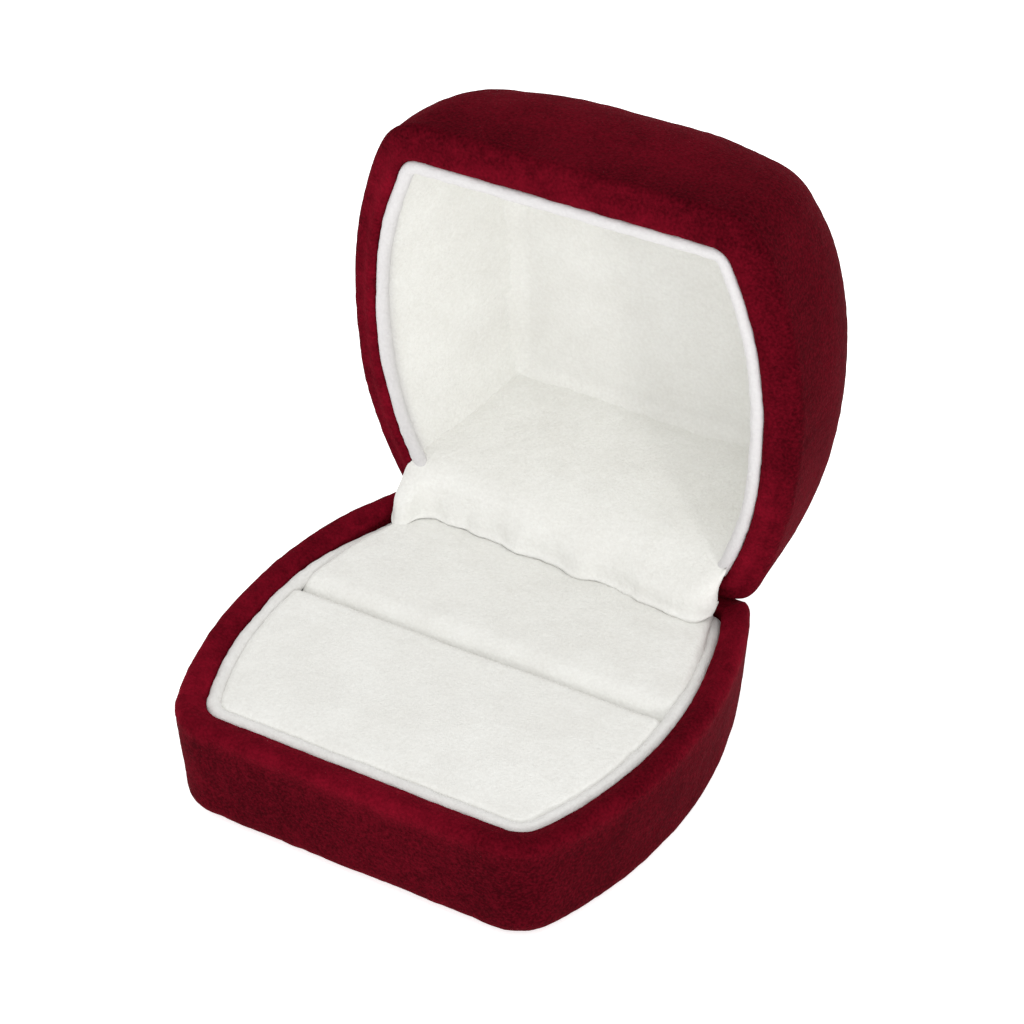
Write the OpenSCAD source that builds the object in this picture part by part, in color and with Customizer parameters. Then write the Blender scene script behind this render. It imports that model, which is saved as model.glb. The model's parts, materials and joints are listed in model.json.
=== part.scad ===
// Velvet ring box: a shallow base with a two-part ring cushion and a deep domed lid on a sprung hinge.
// The origin is the centre of the base's underside: +X right, +Y towards the hinge, +Z up.
// The lid is drawn in its closed place and then swung open about the hinge pin.

/* [Outline] */
// Greatest width, across the middle of the curved sides
mid_width = 60; // [54:1:66]
// Width at the front and back, measured to the square corners
end_width = 46.4; // [43:0.2:49]
// Length from the front face to the back face
box_length = 54; // [50:1:58]
// Radius of the two front corners
front_corner_radius = 7; // [6:0.5:9]
// Radius of the two corners beside the hinge
back_corner_radius = 5; // [4.5:0.5:7]

/* [Base] */
// Height of the base's rim above the surface it stands on
base_height = 14.8; // [14.2:0.2:16]
// How far each side leans in between the rim and the bottom
side_taper = 0.75; // [0:0.05:1.5]
// Rounding of the bottom edge
bottom_round = 3.2; // [2:0.2:4]
// Rounding of the rims' outer edges
rim_round = 1.1; // [0.9:0.1:1.2]

/* [Lid] */
// Height of the lid's dome above its rim
lid_height = 26.5; // [25:0.5:30]
// Height at which the sides begin to curve over, at the middle of a side
shoulder_side = 7.8; // [5:0.2:10]
// Height at which they begin to curve over, at a corner
shoulder_corner = 1.3; // [1.2:0.1:4]
// Depth of the lid's cavity, from the rim to the top panel
cavity_depth = 18.2; // [16:0.2:18.2]
// Half the width and length of the flat panel at the top of the cavity
top_panel_half = 17.25; // [15:0.05:17.3]
// Gap between the two rims when the box is shut
rim_gap = 0.4; // [0.3:0.1:0.8]

/* [Hinge] */
// Angle from shut to fully open
open_angle = 87.5; // [0:0.5:87.5]
// Distance from the back face in to the hinge pin
pin_inset = 1.55; // [1.5:0.05:1.6]
// Height of the hinge pin above the base's rim
pin_rise = 1.05; // [1:0.05:1.1]
// Diameter of the hinge pin
pin_d = 1; // [0.8:0.1:1.1]
// Length of the hinge pin
pin_length = 29.6; // [29.4:0.2:30.4]

/* [Cushion] */
// Height of the cushion's top
cushion_top = 14; // [13:0.1:14]
// Front edge of the slot that grips a ring
slot_front = 1.6; // [0:0.2:3]
// Width of the slot
slot_width = 4.2; // [4.1:0.1:5]

/* [Materials] */
// Thickness of the velvet with its pile
velvet = 0.7; // [0.5:0.05:0.8]
// Thickness of the base's plastic wall
base_wall = 2; // [1.8:0.1:2]
// Thickness of the lid's plastic dome
dome_wall = 1.4; // [1.2:0.1:1.6]
// Thickness of the white lining walls
lining = 0.6; // [0.5:0.1:0.7]
// Radius of the padded bead along the lining's edge
bead_radius = 0.72; // [0.6:0.02:0.75]
// Thickness of the steel hinge leaves
leaf_t = 0.4; // [0.3:0.05:0.45]

/* [Hidden] */
$fn = 48;

// Clearances
skin = 0.04;
eps = 0.05;

// Plan outline: straight ends, arcs of one circle for the sides, arcs for the corners
half_len = box_length / 2;
half_mid = mid_width / 2;
half_end = end_width / 2;
side_radius = (pow(half_mid - half_end, 2) + pow(half_len, 2)) / (2 * (half_mid - half_end));
side_centre = half_mid - side_radius;
tight_radius = 0.8;
// Inner outlines have tighter corners: the radius shrinks by this much per unit of inset
corner_tightening = 1.5;
side_steps = 6;
corner_steps = 4;
// Ends of the relief that the hinge stands in, as half widths
relief_in = 15.2;
relief_out = 16.4;

// Lid rim and hinge pin
lid_rim = base_height + rim_gap;
pin_y = half_len - pin_inset;
pin_z = base_height + pin_rise;
knuckle_r = 1;
pin_play = 0.04;
// Room in the base's back rim round the path of the lid's edge
swing_room = 0.17;
// Relief in the lid's back rim over the knuckles
notch_rise = pin_rise - rim_gap + knuckle_r + 0.15;

// Velvet wraps each rim and is tucked inside its wall to these depths
tuck = 5;
lid_tuck = 3;
// The lid's rim stands proud along its inner edge, and the base's slopes down to take it
lid_crown = 0.5;
rim_slope = 0.3;
wall_in = velvet + base_wall;
tuck_in = wall_in + velvet;
underside = 0.1;
floor_z = underside + velvet + skin;
floor_t = 1.8;

// Dome: a superellipse in section
dome_power = 4;
dome_top_power = 2.07;
dome_lean = 0.2;
dome_angles = [0, 12, 24, 36, 48, 60, 71, 81];
corner_reach = 7;
corner_mark = [half_end - 2.2, half_len - 2.2];

// Lining: a wall just inside the tucked velvet, with a bead along its edge
lining_out = tuck_in + 0.1;
lining_in = lining_out + lining;
bead_mid = lining_out + bead_radius + 0.1;
bead_in = bead_mid + bead_radius;
base_bead_drop = 0.5;
lid_bead_proud = 0.7;
bead_angles = [-50, 0, 45, 90, 135, 180];

// Cushion
board_z = floor_z + floor_t + eps;
board_t = 0.8;
pad_inset = bead_in + 0.15;
pad_cover = 0.8;
rear_pad_back = half_len - 5.8;

// Hinge leaves stand just inside the tucked velvet
leaf_y = half_len - tuck_in - eps - leaf_t;
leaf_half = 14.5;
knuckles = [[-14.5, -9.5], [-9.4, -3.6], [-3.5, 3.5], [3.6, 9.4], [9.5, 14.5]];
rivet_r = 0.8;
rivet_x = 11;
base_rivet_z = 7.4;
lid_rivet_z = lid_rim + tuck + 2.6;
head_t = 0.3;
head_r = 1.4;
spring_t = 0.22;

// Back lining of the lid leans forward from the pin's height to the top panel
cover_t = 0.7;
cover_low_y = half_len - 5.6;
cover_high_y = top_panel_half;
back_board_t = 0.55;
cover_low_half = 20.3;
cover_high_half = 16.2;
cover_tail = 36;

velvet_red = [0.42, 0.05, 0.12];
lining_white = [0.93, 0.93, 0.9];
card_grey = [0.62, 0.58, 0.52];
foam_cream = [0.88, 0.85, 0.74];
shell_black = [0.1, 0.1, 0.11];
steel = [0.72, 0.72, 0.74];

// Centre and radius of a corner, as [x, y, radius]
function corner(inset, radius) =
    let (r = max(radius - corner_tightening * inset, tight_radius), y = half_len - inset - r)
    [side_centre + sqrt(pow(side_radius - inset - r, 2) - pow(y, 2)), y, r];

// A quarter of the outline, from the middle of the right side to the back edge
function quarter(inset, radius) =
    let (c = corner(inset, radius), cx = c[0], cy = c[1], r = c[2],
         turn = atan2(cy, cx - side_centre), arc = side_radius - inset)
    concat([for (i = [0 : side_steps - 1]) let (a = turn * i / side_steps)
                [side_centre + arc * cos(a), arc * sin(a)]],
           [for (i = [0 : corner_steps]) let (a = turn + (90 - turn) * i / corner_steps)
                [cx + r * cos(a), cy + r * sin(a)]],
           [for (x = [relief_out, relief_in]) [x, half_len - inset]]);

// The whole outline, anticlockwise
function outline(inset) =
    let (q = quarter(inset, back_corner_radius), f = quarter(inset, front_corner_radius), n = len(q) - 1)
    concat(q,
           [for (i = [n : -1 : 0]) [-q[i][0], q[i][1]]],
           [for (i = [1 : n]) [-f[i][0], -f[i][1]]],
           [for (i = [n : -1 : 1]) [f[i][0], -f[i][1]]]);

// 0 below low, 1 above high
function ramp(v, low, high) = min(1, max(0, (v - low) / (high - low)));

// The back face's Y at a distance across from the middle
function back_y(x) =
    let (c = corner(0, back_corner_radius), past = max(0, x - c[0])) c[1] + sqrt(max(0, pow(c[2], 2) - pow(past, 2)));
// How far the lid's back edge reaches from the pin at a distance across from the middle
function reach(x) = norm([max(0, back_y(x) - pin_y), pin_z - lid_rim]) + swing_room;
// How far the base's rim is lowered at a point, to clear the swing of the lid
function trough(p) =
    let (r = reach(abs(p[0])), at_leaf = abs(p[0]) < relief_out + eps && p[1] > leaf_y - 1,
         ahead = at_leaf ? 0 : max(0, pin_y - p[1]))
    ahead < r ? max(0, sqrt(pow(r, 2) - pow(ahead, 2)) - pin_rise) : 0;
// How far the lid's rim is raised at a point, to clear the knuckles
function notch(p) = abs(p[0]) < relief_in + eps && p[1] > leaf_y - 1 ? notch_rise : 0;

function base_ring(inset, z) =
    [for (p = outline(inset)) [p[0], p[1], z - trough(p) * ramp(z, base_height - 7, base_height - 1)]];
function lid_ring(inset, z, crown = 0) =
    [for (p = outline(inset)) let (up = notch(p))
        [p[0], p[1], z - (up > 0 ? 0 : crown) + up * (1 - ramp(z, 1, shoulder_side))]];

// Height at which the dome starts at a point of the outline
function shoulder(p) =
    let (d = norm([abs(p[0]) - corner_mark[0], abs(p[1]) - corner_mark[1]]))
    shoulder_side + (shoulder_corner - shoulder_side) * exp(-pow(d / corner_reach, 2));
function dome_ring(inset, top, angle) =
    let (s = pow(cos(angle), 2 / dome_power), rise = pow(sin(angle), 2 / dome_top_power))
    [for (p = outline(inset + dome_lean)) let (z = shoulder(p)) [p[0] * s, p[1] * s, z + (top - z) * rise]];

function reversed(list) = [for (i = [len(list) - 1 : -1 : 0]) list[i]];
function joined(lists) = [for (l = lists) each l];

// Triangles between two neighbouring rings of n points
function band(a, b, n) =
    [for (i = [0 : n - 1]) let (j = (i + 1) % n) each [[a * n + i, b * n + i, b * n + j], [a * n + i, b * n + j, a * n + j]]];

// A solid through rings of equal length, closed round on itself
module ring_loft(rings) {
    n = len(rings[0]);
    m = len(rings);
    polyhedron(points = joined(rings), faces = joined([for (k = [0 : m - 1]) band(k, (k + 1) % m, n)]));
}

// A solid through rings of equal length, from a centre point at the first to one at the last
module cup_loft(first, rings, last) {
    n = len(rings[0]);
    m = len(rings);
    sides = joined([for (k = [0 : m - 2]) band(k, k + 1, n)]);
    caps = [for (i = [0 : n - 1]) let (j = (i + 1) % n)
                each [[m * n, i, j], [m * n + 1, (m - 1) * n + j, (m - 1) * n + i]]];
    polyhedron(points = concat(joined(rings), [first, last]), faces = concat(sides, caps));
}

// Puts a child, drawn where it is when the box is shut, into the open lid
module on_lid() {
    translate([0, pin_y, pin_z]) rotate([-open_angle, 0, 0]) translate([0, -pin_y, -pin_z]) children();
}

// Base: the outside of the shell or of its velvet, as [inset, z], from the bottom to the rim
function base_outside(t) = concat(
    [for (a = [0, 22, 45, 68, 90]) let (r = bottom_round - t)
        [side_taper + bottom_round - r * sin(a), underside + bottom_round - r * cos(a)]],
    [for (a = [0, 45, 90]) let (r = rim_round - t)
        [rim_round - r * cos(a), base_height - rim_round + r * sin(a)]]);

function base_rings(path) = [for (p = path) base_ring(p[0], p[1])];

module base_shell() {
    inner_bottom = wall_in + side_taper;
    rim = base_height - velvet - 2 * skin;
    inside = [[wall_in, rim], [wall_in, base_height - tuck - 0.3],
              [inner_bottom, floor_z + floor_t + 1.6], [inner_bottom + 1.6, floor_z + floor_t]];
    color(shell_black) difference() {
        cup_loft([0, 0, floor_z], base_rings(concat(base_outside(velvet + 2 * skin), inside)),
                 [0, 0, floor_z + floor_t]);
        rivets(base_rivet_z, rivet_r + eps, 0, half_len - 1.3);
    }
}

module base_velvet() {
    inner = base_outside(velvet);
    outer = base_outside(0);
    hem = side_taper + bottom_round + 0.5;
    path = concat([[hem, underside]], outer,
                  [[tuck_in - 0.5, base_height - rim_slope], [tuck_in - 0.15, base_height - rim_slope - 0.15],
                   [tuck_in, base_height - rim_slope - 0.5], [tuck_in, base_height - tuck],
                   [wall_in + skin, base_height - tuck], [wall_in + skin, base_height - velvet]],
                  reversed(inner), [[hem, underside + velvet]]);
    color(velvet_red) ring_loft(base_rings(path));
}

module base_bottom_panel() {
    color(card_grey) linear_extrude(floor_z - eps) polygon(outline(side_taper + bottom_round + 0.8));
}

// The bead's section, as [inset, z], with its inner side first
function bead(z) = [for (a = bead_angles) [bead_mid + bead_radius * cos(a), z + bead_radius * sin(a)]];

module base_liner() {
    bead_z = base_height - base_bead_drop - bead_radius;
    foot = floor_z + floor_t + 1.7;
    path = concat([[lining_out, foot], [lining_in, foot], [lining_in, bead_z - bead_radius - 0.1]],
                  bead(bead_z), [[lining_out, bead_z - 0.5]]);
    // The bead sinks towards the hinge
    rings = [for (p = path) [for (q = outline(p[0]))
                [q[0], q[1], p[1] - 1.2 * ramp(q[1], 4, 19) * ramp(p[1], foot, bead_z)]]];
    color(lining_white) difference() {
        ring_loft(reversed(rings));
        translate([-17.5, 15, 0]) cube([35, 15, 20]);
    }
}

// The cushion's plan between two Y limits
module cushion_plan(inset, y0, y1) {
    intersection() {
        polygon(outline(inset));
        translate([-half_mid, y0]) square([mid_width, y1 - y0]);
    }
}

module insert_board() {
    color(card_grey) translate([0, 0, board_z]) linear_extrude(board_t)
        cushion_plan(pad_inset, -half_len, rear_pad_back);
}

module pad_foam(y0, y1) {
    bottom = board_z + board_t + eps;
    edge = pad_cover + skin;
    color(foam_cream) translate([0, 0, bottom]) linear_extrude(cushion_top - edge - bottom)
        cushion_plan(pad_inset + edge, y0 + edge, y1 - edge);
}

module pad_velvet(y0, y1) {
    bottom = board_z + board_t + eps;
    color(lining_white) difference() {
        translate([0, 0, bottom]) linear_extrude(cushion_top - bottom) cushion_plan(pad_inset, y0, y1);
        translate([0, 0, bottom - 1]) linear_extrude(cushion_top - pad_cover - bottom + 1)
            cushion_plan(pad_inset + pad_cover, y0 + pad_cover, y1 - pad_cover);
    }
}

module front_pad_foam() { pad_foam(pad_inset - half_len, slot_front); }
module front_pad_cover() { pad_velvet(pad_inset - half_len, slot_front); }
module rear_pad_foam() { pad_foam(slot_front + slot_width, rear_pad_back); }
module rear_pad_cover() { pad_velvet(slot_front + slot_width, rear_pad_back); }

// Front edge of the hinge cover, lying on the rear pad
module hinge_cover_hem() {
    color(lining_white) translate([0, 0, cushion_top + eps]) linear_extrude(cover_t)
        polygon([[-cover_low_half, rear_pad_back], [-cover_low_half, 19.6], [0, 18.4], [cover_low_half, 17.8],
                 [cover_low_half, rear_pad_back]]);
}

// Two rivet shanks along Y at a height
module rivets(z, r, y0, y1) {
    for (x = [-rivet_x, rivet_x]) translate([x, y0, z]) rotate([-90, 0, 0]) cylinder(r = r, h = y1 - y0);
}

// A leaf with its plate below the pin, and knuckles at some of the five places
module hinge_leaf(places, plate_end, rivet_height) {
    web_z = pin_z - knuckle_r;
    difference() {
        union() {
            translate([-leaf_half, leaf_y, plate_end]) cube([2 * leaf_half, leaf_t, web_z - 0.5 - plate_end]);
            for (k = places) {
                span = knuckles[k][1] - knuckles[k][0];
                translate([knuckles[k][0], leaf_y, web_z - 0.6]) cube([span, leaf_t, 0.6 + leaf_t]);
                translate([knuckles[k][0], leaf_y, web_z]) cube([span, pin_y - leaf_y, leaf_t]);
                translate([knuckles[k][0], pin_y, pin_z]) rotate([0, 90, 0]) cylinder(r = knuckle_r, h = span);
            }
        }
        translate([-leaf_half - 1, pin_y, pin_z]) rotate([0, 90, 0])
            cylinder(d = pin_d + 2 * pin_play, h = 2 * leaf_half + 2);
        rivets(rivet_height, rivet_r + eps, leaf_y - 1, leaf_y + 1);
    }
}

module hinge_base_leaf() {
    color(steel) hinge_leaf([0, 2, 4], 5, base_rivet_z);
}

module hinge_pin() {
    color(steel) translate([-pin_length / 2, pin_y, pin_z]) rotate([0, 90, 0]) cylinder(d = pin_d, h = pin_length);
}

// Flat spring in front of the base leaf: two tongues bear on the lid's knuckles
module hinge_spring() {
    tip = pin_y - knuckle_r - 0.1;
    root_y = leaf_y - skin;
    low = base_rivet_z - 2;
    bend = pin_z - 1.4;
    color(steel) difference() {
        union() {
            translate([-13, root_y - spring_t, low]) cube([26, spring_t, 4.4]);
            for (x = [-9, 4]) translate([x, 0, 0]) rotate([90, 0, 90]) linear_extrude(5)
                polygon([[root_y - spring_t, low], [root_y, low], [root_y, bend], [tip, pin_z - 0.3],
                         [tip - spring_t, pin_z - 0.2], [root_y - spring_t, bend + 0.2]]);
        }
        rivets(base_rivet_z, rivet_r + eps, root_y - 1, root_y + 1);
    }
}

module hinge_base_rivets() {
    head = leaf_y - spring_t - 2 * skin;
    color(steel) {
        rivets(base_rivet_z, rivet_r, head, half_len - 1.35);
        rivets(base_rivet_z, head_r, head - head_t, head);
    }
}

module lid_shell() {
    outer = velvet + 2 * skin;
    inner = wall_in - skin;
    inner_top = lid_height - velvet - dome_wall;
    rim = [[inner, outer], [rim_round, outer], [rim_round * 0.75, rim_round * 0.75], [outer, rim_round]];
    rings = concat([for (a = reversed(dome_angles)) dome_ring(inner, inner_top, a)],
                   [for (p = rim) lid_ring(p[0], p[1])],
                   [for (a = dome_angles) dome_ring(outer, lid_height - outer, a)]);
    color(shell_black) on_lid() difference() {
        translate([0, 0, lid_rim]) cup_loft([0, 0, inner_top], rings, [0, 0, lid_height - outer]);
        rivets(lid_rivet_z, rivet_r + eps, 0, half_len - 1.5);
    }
}

module lid_velvet() {
    inner = [[velvet, rim_round], [rim_round * 0.75, rim_round * 0.75], [rim_round, velvet], [wall_in, velvet],
             [wall_in + 0.25, shoulder_corner], [wall_in + 0.35, lid_tuck], [tuck_in, lid_tuck]];
    crown = [[tuck_in, 0.5], [tuck_in - 0.15, 0.15], [tuck_in - 0.5, 0]];
    outer = [[rim_round, 0], [rim_round * 0.3, rim_round * 0.3], [0, rim_round]];
    rings = concat([for (a = reversed(dome_angles)) dome_ring(velvet, lid_height - velvet, a)],
                   [for (p = inner) lid_ring(p[0], p[1])],
                   [for (p = crown) lid_ring(p[0], p[1], lid_crown)],
                   [for (p = outer) lid_ring(p[0], p[1])],
                   [for (a = dome_angles) dome_ring(0, lid_height, a)]);
    color(velvet_red) on_lid() translate([0, 0, lid_rim])
        cup_loft([0, 0, lid_height - velvet], rings, [0, 0, lid_height]);
}

// Keeps v inside the limit with a soft shoulder
function soft_limit(v, limit) = v / pow(1 + pow(abs(v) / limit, 24), 1 / 24);
// The lining's plan at the bottom of the cavity, where the curved outline has turned into a square
function lining_plan(inset) =
    let (side = top_panel_half + lining_in - inset)
    [for (p = outline(inset)) [soft_limit(p[0] * 0.83, side), soft_limit(p[1] * 0.79, side)]];

// Half width of the back lining at a height above the lid's rim
function cover_half(z) = cover_low_half - (cover_low_half - cover_high_half) * z / cavity_depth;

module lid_liner() {
    bead_z = bead_radius - lid_bead_proud;
    rim = concat([[lining_in, bead_z + bead_radius + 0.1]],
                 [for (p = bead(0)) [p[0], bead_z - p[1]]],
                 [[lining_out, bead_z + 0.6]]);
    rings = concat([for (p = rim) [for (q = outline(p[0])) [q[0], q[1], p[1]]]],
                   [for (inset = [lining_out, lining_in])
                        [for (q = lining_plan(inset)) [q[0], q[1], cavity_depth]]]);
    color(lining_white) on_lid() translate([0, 0, lid_rim]) difference() {
        ring_loft(rings);
        // Open at the back for the hinge leaf and the back lining
        translate([0, 24, 0]) rotate([90, 0, 0]) linear_extrude(9)
            polygon([for (c = [[-1, -2], [1, -2], [1, cavity_depth + 1], [-1, cavity_depth + 1]])
                [c[0] * (cover_half(c[1]) + 0.25), c[1]]]);
    }
}

module lid_top_pad() {
    color(lining_white) on_lid() translate([0, 0, lid_rim + cavity_depth + skin]) linear_extrude(0.78)
        polygon(lining_plan(lining_in - 0.3));
}

module lid_top_board() {
    color(card_grey) on_lid() translate([0, 0, lid_rim + cavity_depth + 0.82]) linear_extrude(0.6)
        polygon(lining_plan(lining_in + 1));
}

// A plate leaning like the back lining, from one depth behind its face to another
module back_plate(front, back, low_half, high_half, low, high) {
    lean = (cover_low_y - cover_high_y) / (lid_rim + cavity_depth - pin_z);
    function face(z) = cover_low_y - (z - pin_z) * lean;
    intersection() {
        rotate([90, 0, 90]) translate([0, 0, -half_mid]) linear_extrude(mid_width)
            polygon([[face(low) + front, low], [face(low) + back, low],
                     [face(high) + back, high], [face(high) + front, high]]);
        translate([0, half_len, 0]) rotate([90, 0, 0]) linear_extrude(half_len)
            polygon([[-low_half, low - 1], [low_half, low - 1], [high_half, high + 1], [-high_half, high + 1]]);
    }
}

module lid_back_board() {
    color(card_grey) on_lid()
        back_plate(cover_t + skin, cover_t + skin + back_board_t, cover_low_half - 1, cover_high_half - 0.6,
                   pin_z + knuckle_r + 0.3, lid_rim + cavity_depth - 0.6);
}

module hinge_cover() {
    outer_r = pin_y - cover_low_y;
    color(lining_white) on_lid() {
        back_plate(0, cover_t, cover_low_half, cover_high_half, pin_z, lid_rim + cavity_depth - eps);
        // Tail that rolls round the pin as the lid moves
        intersection() {
            translate([-cover_low_half, pin_y, pin_z]) rotate([0, 90, 0]) difference() {
                cylinder(r = outer_r, h = 2 * cover_low_half);
                translate([0, 0, -1]) cylinder(r = outer_r - cover_t, h = 2 * cover_low_half + 2);
            }
            translate([-cover_low_half - 1, 0, 0]) rotate([90, 0, 90]) linear_extrude(2 * cover_low_half + 2)
                polygon([[pin_y, pin_z], [pin_y - 8, pin_z],
                         [pin_y - 8 * cos(cover_tail), pin_z - 8 * sin(cover_tail)]]);
        }
    }
}

module hinge_lid_leaf() {
    color(steel) on_lid() translate([0, 0, 2 * pin_z]) mirror([0, 0, 1])
        hinge_leaf([1, 3], 2 * pin_z - (lid_rivet_z + 2.4), 2 * pin_z - lid_rivet_z);
}

module hinge_lid_rivets() {
    head = leaf_y - skin;
    color(steel) on_lid() {
        rivets(lid_rivet_z, rivet_r, head, half_len - 1.55);
        rivets(lid_rivet_z, head_r, head - head_t, head);
    }
}

base_shell();
base_velvet();
base_bottom_panel();
base_liner();
insert_board();
front_pad_foam();
front_pad_cover();
rear_pad_foam();
rear_pad_cover();
hinge_cover_hem();
hinge_base_leaf();
hinge_pin();
hinge_spring();
hinge_base_rivets();
lid_shell();
lid_velvet();
lid_liner();
lid_top_board();
lid_top_pad();
lid_back_board();
hinge_cover();
hinge_lid_leaf();
hinge_lid_rivets();
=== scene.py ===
"""The looks of the ring box: velvet skins, lining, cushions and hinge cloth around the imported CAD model.

Lengths in the tables below are millimetres, as in the CAD source; objects are made in metres.
The lid's pieces are worked out shut, then swung open about the hinge pin.
"""
import json
import math

import bpy
import numpy as np
from mathutils import Matrix, Vector


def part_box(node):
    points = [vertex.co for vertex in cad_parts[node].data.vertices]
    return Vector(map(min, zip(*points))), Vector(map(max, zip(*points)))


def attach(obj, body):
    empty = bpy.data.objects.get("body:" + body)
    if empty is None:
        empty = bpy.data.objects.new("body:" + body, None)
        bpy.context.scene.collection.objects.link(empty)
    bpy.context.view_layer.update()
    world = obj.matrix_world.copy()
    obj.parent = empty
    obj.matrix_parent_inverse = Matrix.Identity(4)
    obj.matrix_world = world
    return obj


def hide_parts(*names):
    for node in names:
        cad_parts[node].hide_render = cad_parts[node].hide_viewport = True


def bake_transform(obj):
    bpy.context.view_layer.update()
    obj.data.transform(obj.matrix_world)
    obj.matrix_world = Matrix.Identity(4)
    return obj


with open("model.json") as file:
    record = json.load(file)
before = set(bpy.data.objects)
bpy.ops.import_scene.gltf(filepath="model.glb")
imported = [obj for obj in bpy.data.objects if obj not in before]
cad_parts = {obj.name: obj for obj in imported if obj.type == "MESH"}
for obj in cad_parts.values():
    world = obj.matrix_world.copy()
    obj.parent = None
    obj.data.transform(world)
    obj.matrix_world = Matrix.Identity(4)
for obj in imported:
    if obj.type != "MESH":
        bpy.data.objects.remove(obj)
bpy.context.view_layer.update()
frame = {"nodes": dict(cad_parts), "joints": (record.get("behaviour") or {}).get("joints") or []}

MM = 0.001


def box_mm(node):
    """Lowest and highest corners of a CAD node, in millimetres."""
    low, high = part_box(node)
    return np.array(low) / MM, np.array(high) / MM


# Driving sizes: those that the frame gives, then the ones shared with the CAD source
BASE_LOW, BASE_HIGH = box_mm("base_velvet")
HALF_MID = (BASE_HIGH[0] - BASE_LOW[0]) / 2
HALF_LEN = (BASE_HIGH[1] - BASE_LOW[1]) / 2
BASE_H = BASE_HIGH[2]
UNDERSIDE = BASE_LOW[2]
HINGE = frame["joints"][0]
PIN_Y, PIN_Z = HINGE["pos_m"][1] / MM, HINGE["pos_m"][2] / MM
OPEN_ANGLE = math.radians(HINGE["range_deg"][1])

# The outline in plan: half the straight end, the corners, and how fast a corner tightens as it moves in
HALF_END = 23.2
FRONT_CORNER_R, BACK_CORNER_R = 7.0, 4.0
TIGHT_R, TIGHTENING, BASE_TIGHTENING = 0.8, 1.15, 0.95
LEFT_WIDENING, RIGHT_WIDENING = 0.5, 0.3

# The base's skin
TAPER = 0.75
BOTTOM_ROUND = 3.2
RIM_ROUND = 1.25
RIM_SLOPE = 0.6
VELVET = 0.7
WALL_IN = VELVET + 2.0
TUCK_IN = WALL_IN + VELVET
TUCK, LID_TUCK = 5.0, 3.0
LIP_ROUND, LID_LIP_ROUND = 0.6, 0.8
SKIN_STEP = 0.42

# The lid's skin: its rim, the shoulder where it begins to curve over, and the dome
LID_H = 26.5
RIM_GAP = 0.4
LID_RIM = BASE_H + RIM_GAP
LID_CROWN = 0.72
LIP_IN = TUCK_IN + 0.45
SHOULDER_SIDE, SHOULDER_CORNER = 7.8, 1.3
CORNER_REACH, CORNER_BACK = 7.0, 2.2
DOME_POWER, DOME_TOP_POWER, DOME_LEAN = 4.0, 2.07, 0.2

# Room for the lid to swing, and the relief over the knuckles
SWING_ROOM = 0.17
TROUGH_DEPTH, TROUGH_FADE = 7.0, 6.0
RELIEF_HALF, RELIEF_END, RELIEF_Y = 15.2, 16.4, 22.15
NOTCH = 1.8

# The linings, with a rolled bead along each rim
LINING_OUT, LINING_IN = TUCK_IN + 0.1, TUCK_IN + 0.7
BEAD_R = 0.92
BEAD_MID = TUCK_IN + BEAD_R - 0.06
BEAD_DROP, BACK_SINK = 0.6, 1.2
LID_BEAD_R = 0.85
LID_BEAD_MID = LIP_IN + LID_BEAD_R - 0.08
LID_BEAD_PROUD = 0.8
GAP_HALF, LID_GAP_HALF, LID_GAP_TAPER, GAP_Y = 18.6, 20.4, 4.1, 15.0
CAVITY = 18.2
PANEL_HALF, PANEL_FILLET, PANEL_T = 17.25, 1.8, 0.78
DEEP_WIDTH, DEEP_LENGTH, DEEP_POWER = 0.83, 0.79, 24

# The two cushions and the slot between them
PAD_INSET = BEAD_MID + BEAD_R - 0.4
PAD_TOP, PAD_BOTTOM = 14.1, 3.55
PAD_SIDE_ROLL, PAD_BULGE, PAD_FOOT_PULL = 1.1, 0.25, 0.5
FOAM_SHRINK = 0.9
SLOT_FRONT, SLOT_BACK = 1.6, 5.8
REAR_PAD_BACK = 22.4

# The hinge cloth, which stays in front of the hinge leaf
CLOTH_T, CLOTH_HALF = 0.5, 23.0
LOWER_Y_MAX, NEAR_Y_MAX = 23.2, 22.7

SIDE_RADIUS = ((HALF_MID - HALF_END) ** 2 + HALF_LEN**2) / (2 * (HALF_MID - HALF_END))
SIDE_CENTRE = HALF_MID - SIDE_RADIUS


# ---------------------------------------------------------------- geometry helpers

NOISE_CELLS = 32


def noise(points, size, seed):
    """Smooth noise from -1 to 1 at each point, with features about size across."""
    cells = NOISE_CELLS
    table = np.random.RandomState(seed).uniform(-1, 1, (cells, cells, cells))
    p = np.asarray(points) / size
    low = np.floor(p).astype(int)
    t = p - low
    t = t * t * (3 - 2 * t)
    total = np.zeros(len(p))
    for corner in np.ndindex(2, 2, 2):
        weight = np.prod(np.where(corner, t, 1 - t), axis=1)
        at = (low + corner) % cells
        total += weight * table[at[:, 0], at[:, 1], at[:, 2]]
    return total


def ramp(value, low, high):
    """0 below low, 1 above high, and a smooth rise between."""
    t = np.clip((np.asarray(value, float) - low) / (high - low), 0, 1)
    return t * t * (3 - 2 * t)


def corner(inset, radius, tightening=TIGHTENING):
    """Radius and centre of a corner of the outline."""
    r = max(radius - tightening * inset, TIGHT_R)
    cy = HALF_LEN - inset - r
    return r, SIDE_CENTRE + math.sqrt((SIDE_RADIUS - inset - r) ** 2 - cy**2), cy


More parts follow.
